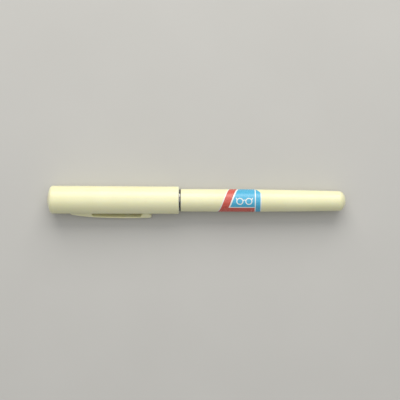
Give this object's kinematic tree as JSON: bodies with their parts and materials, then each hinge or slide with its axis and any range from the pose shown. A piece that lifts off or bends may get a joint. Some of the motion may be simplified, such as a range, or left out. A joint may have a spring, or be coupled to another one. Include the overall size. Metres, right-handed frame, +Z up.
{
  "type": "lens cleaning pen",
  "caption": "Slim capped lens cleaning pen with a pocket clip: a carbon cleaning tip under the cap, a soft dusting brush under the closed barrel, and a bright ring between them.",
  "frame": {"origin": "on the pen's axis, at the barrel's mouth, where the barrel's straight outer stretch begins", "axes": "+X along the pen from the barrel's mouth to its rounded tail; +Z up from the surface that the pen lies on; the cap runs to -X, with its clip turned down and to -Y"},
  "size_m": [0.137, 0.0151, 0.0128],
  "materials": {
    "cream_plastic": "polished injection moulding, warm ivory",
    "milky_plastic": "unpigmented translucent moulding",
    "black_plastic": "fine spark-eroded texture",
    "soft_rubber": "matt black elastomer",
    "bright_trim": "plated, bright",
    "ferrule_metal": "bright drawn tube with crimps",
    "carbon_chamois": "short nap charged with carbon powder",
    "carbon_foam": "open-cell foam charged with carbon powder",
    "brush_fibre": "soft tapered hair",
    "amber_resin": "cast resin",
    "print_ink": "pad-printed blue, red and white ink under lacquer"
  },
  "bodies": {
    "core": {"grip_section": "black_plastic", "trim_ring": "bright_trim", "cap_friction_ring": "soft_rubber", "nose_cone": "black_plastic", "tip_stem": "black_plastic", "tip_neck": "soft_rubber", "brush_socket": "black_plastic", "barrel_friction_ring": "soft_rubber", "brush_ferrule": "ferrule_metal", "hair_plug": "amber_resin", "brush_hair": "brush_fibre"},
    "cap": {"cap_shell": "cream_plastic", "clip_foot": "cream_plastic", "cap_liner": "milky_plastic", "sponge_cup": "milky_plastic", "carbon_sponge": "carbon_foam", "sponge_retainer": "milky_plastic"},
    "clip": {"clip_strap": "cream_plastic"},
    "tip": {"cup_insert": "black_plastic", "tip_cup": "soft_rubber", "chamois_pad": "carbon_chamois"},
    "barrel": {"barrel_shell": "cream_plastic"}
  },
  "joints": [
    {"name": "cap_pull", "type": "slide", "parent": "core", "child": "cap", "axis": [-1, 0, 0], "range_m": [0, 0.05]},
    {"name": "barrel_pull", "type": "slide", "parent": "core", "child": "barrel", "axis": [1, 0, 0], "range_m": [0, 0.055]},
    {"name": "tip_tilt", "type": "hinge", "parent": "core", "child": "tip", "pos_m": [-0.0385, 0, 0], "axis": [0, 1, 0], "range_deg": [-10, 10], "stiffness_Nm_per_rad": 0.003, "deforming": ["tip_neck", "carbon_sponge"]},
    {"name": "clip_flex", "type": "hinge", "parent": "cap", "child": "clip", "pos_m": [-0.0408, -0.00694, -0.00447], "axis": [0, 0.5412, -0.8409], "range_deg": [0, 6], "stiffness_Nm_per_rad": 0.03}
  ]
}
